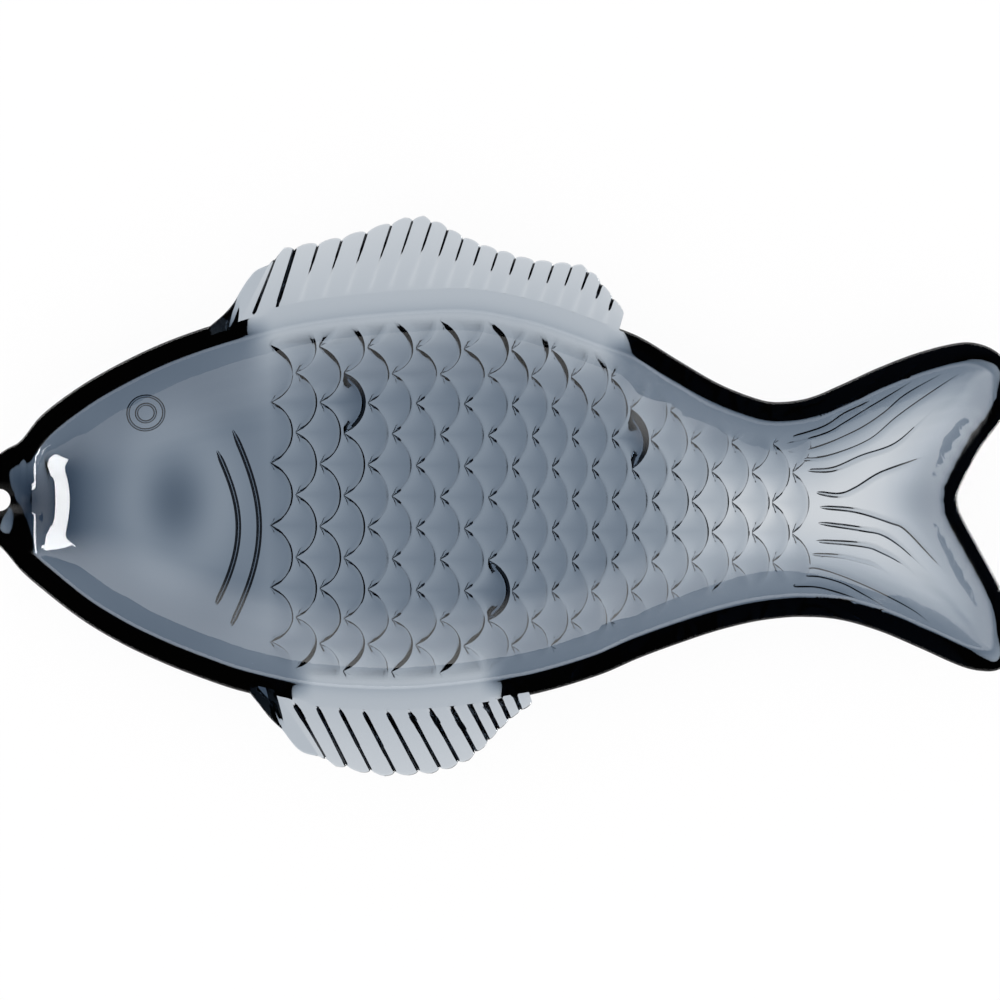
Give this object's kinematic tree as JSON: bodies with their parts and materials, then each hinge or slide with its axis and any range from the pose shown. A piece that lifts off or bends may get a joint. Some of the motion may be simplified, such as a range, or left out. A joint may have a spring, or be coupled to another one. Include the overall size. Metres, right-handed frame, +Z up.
{
  "type": "fish shaped platter",
  "caption": "Shallow fish shaped serving dish of smoke-grey pressed glass, with scales pressed into its underside, ribbed fins, a forked tail and small feet.",
  "frame": {"origin": "centre of the platter's outline, on the surface that its feet stand on", "axes": "+X along the fish from mouth to tail, +Y towards the dorsal fin, +Z up out of the well"},
  "size_m": [0.36, 0.197, 0.0289],
  "materials": {
    "smoke_glass": "polished"
  },
  "bodies": {
    "root": {"head_dish": "smoke_glass", "upper_lip": "smoke_glass", "lower_lip": "smoke_glass", "eye_rings": "smoke_glass", "front_gill_rib": "smoke_glass", "rear_gill_rib": "smoke_glass", "body_dish": "smoke_glass", "front_foot": "smoke_glass", "middle_foot": "smoke_glass", "rear_foot": "smoke_glass", "dorsal_fin": "smoke_glass", "belly_fin": "smoke_glass", "upper_tail_lobe": "smoke_glass", "lower_tail_lobe": "smoke_glass"}
  },
  "joints": []
}
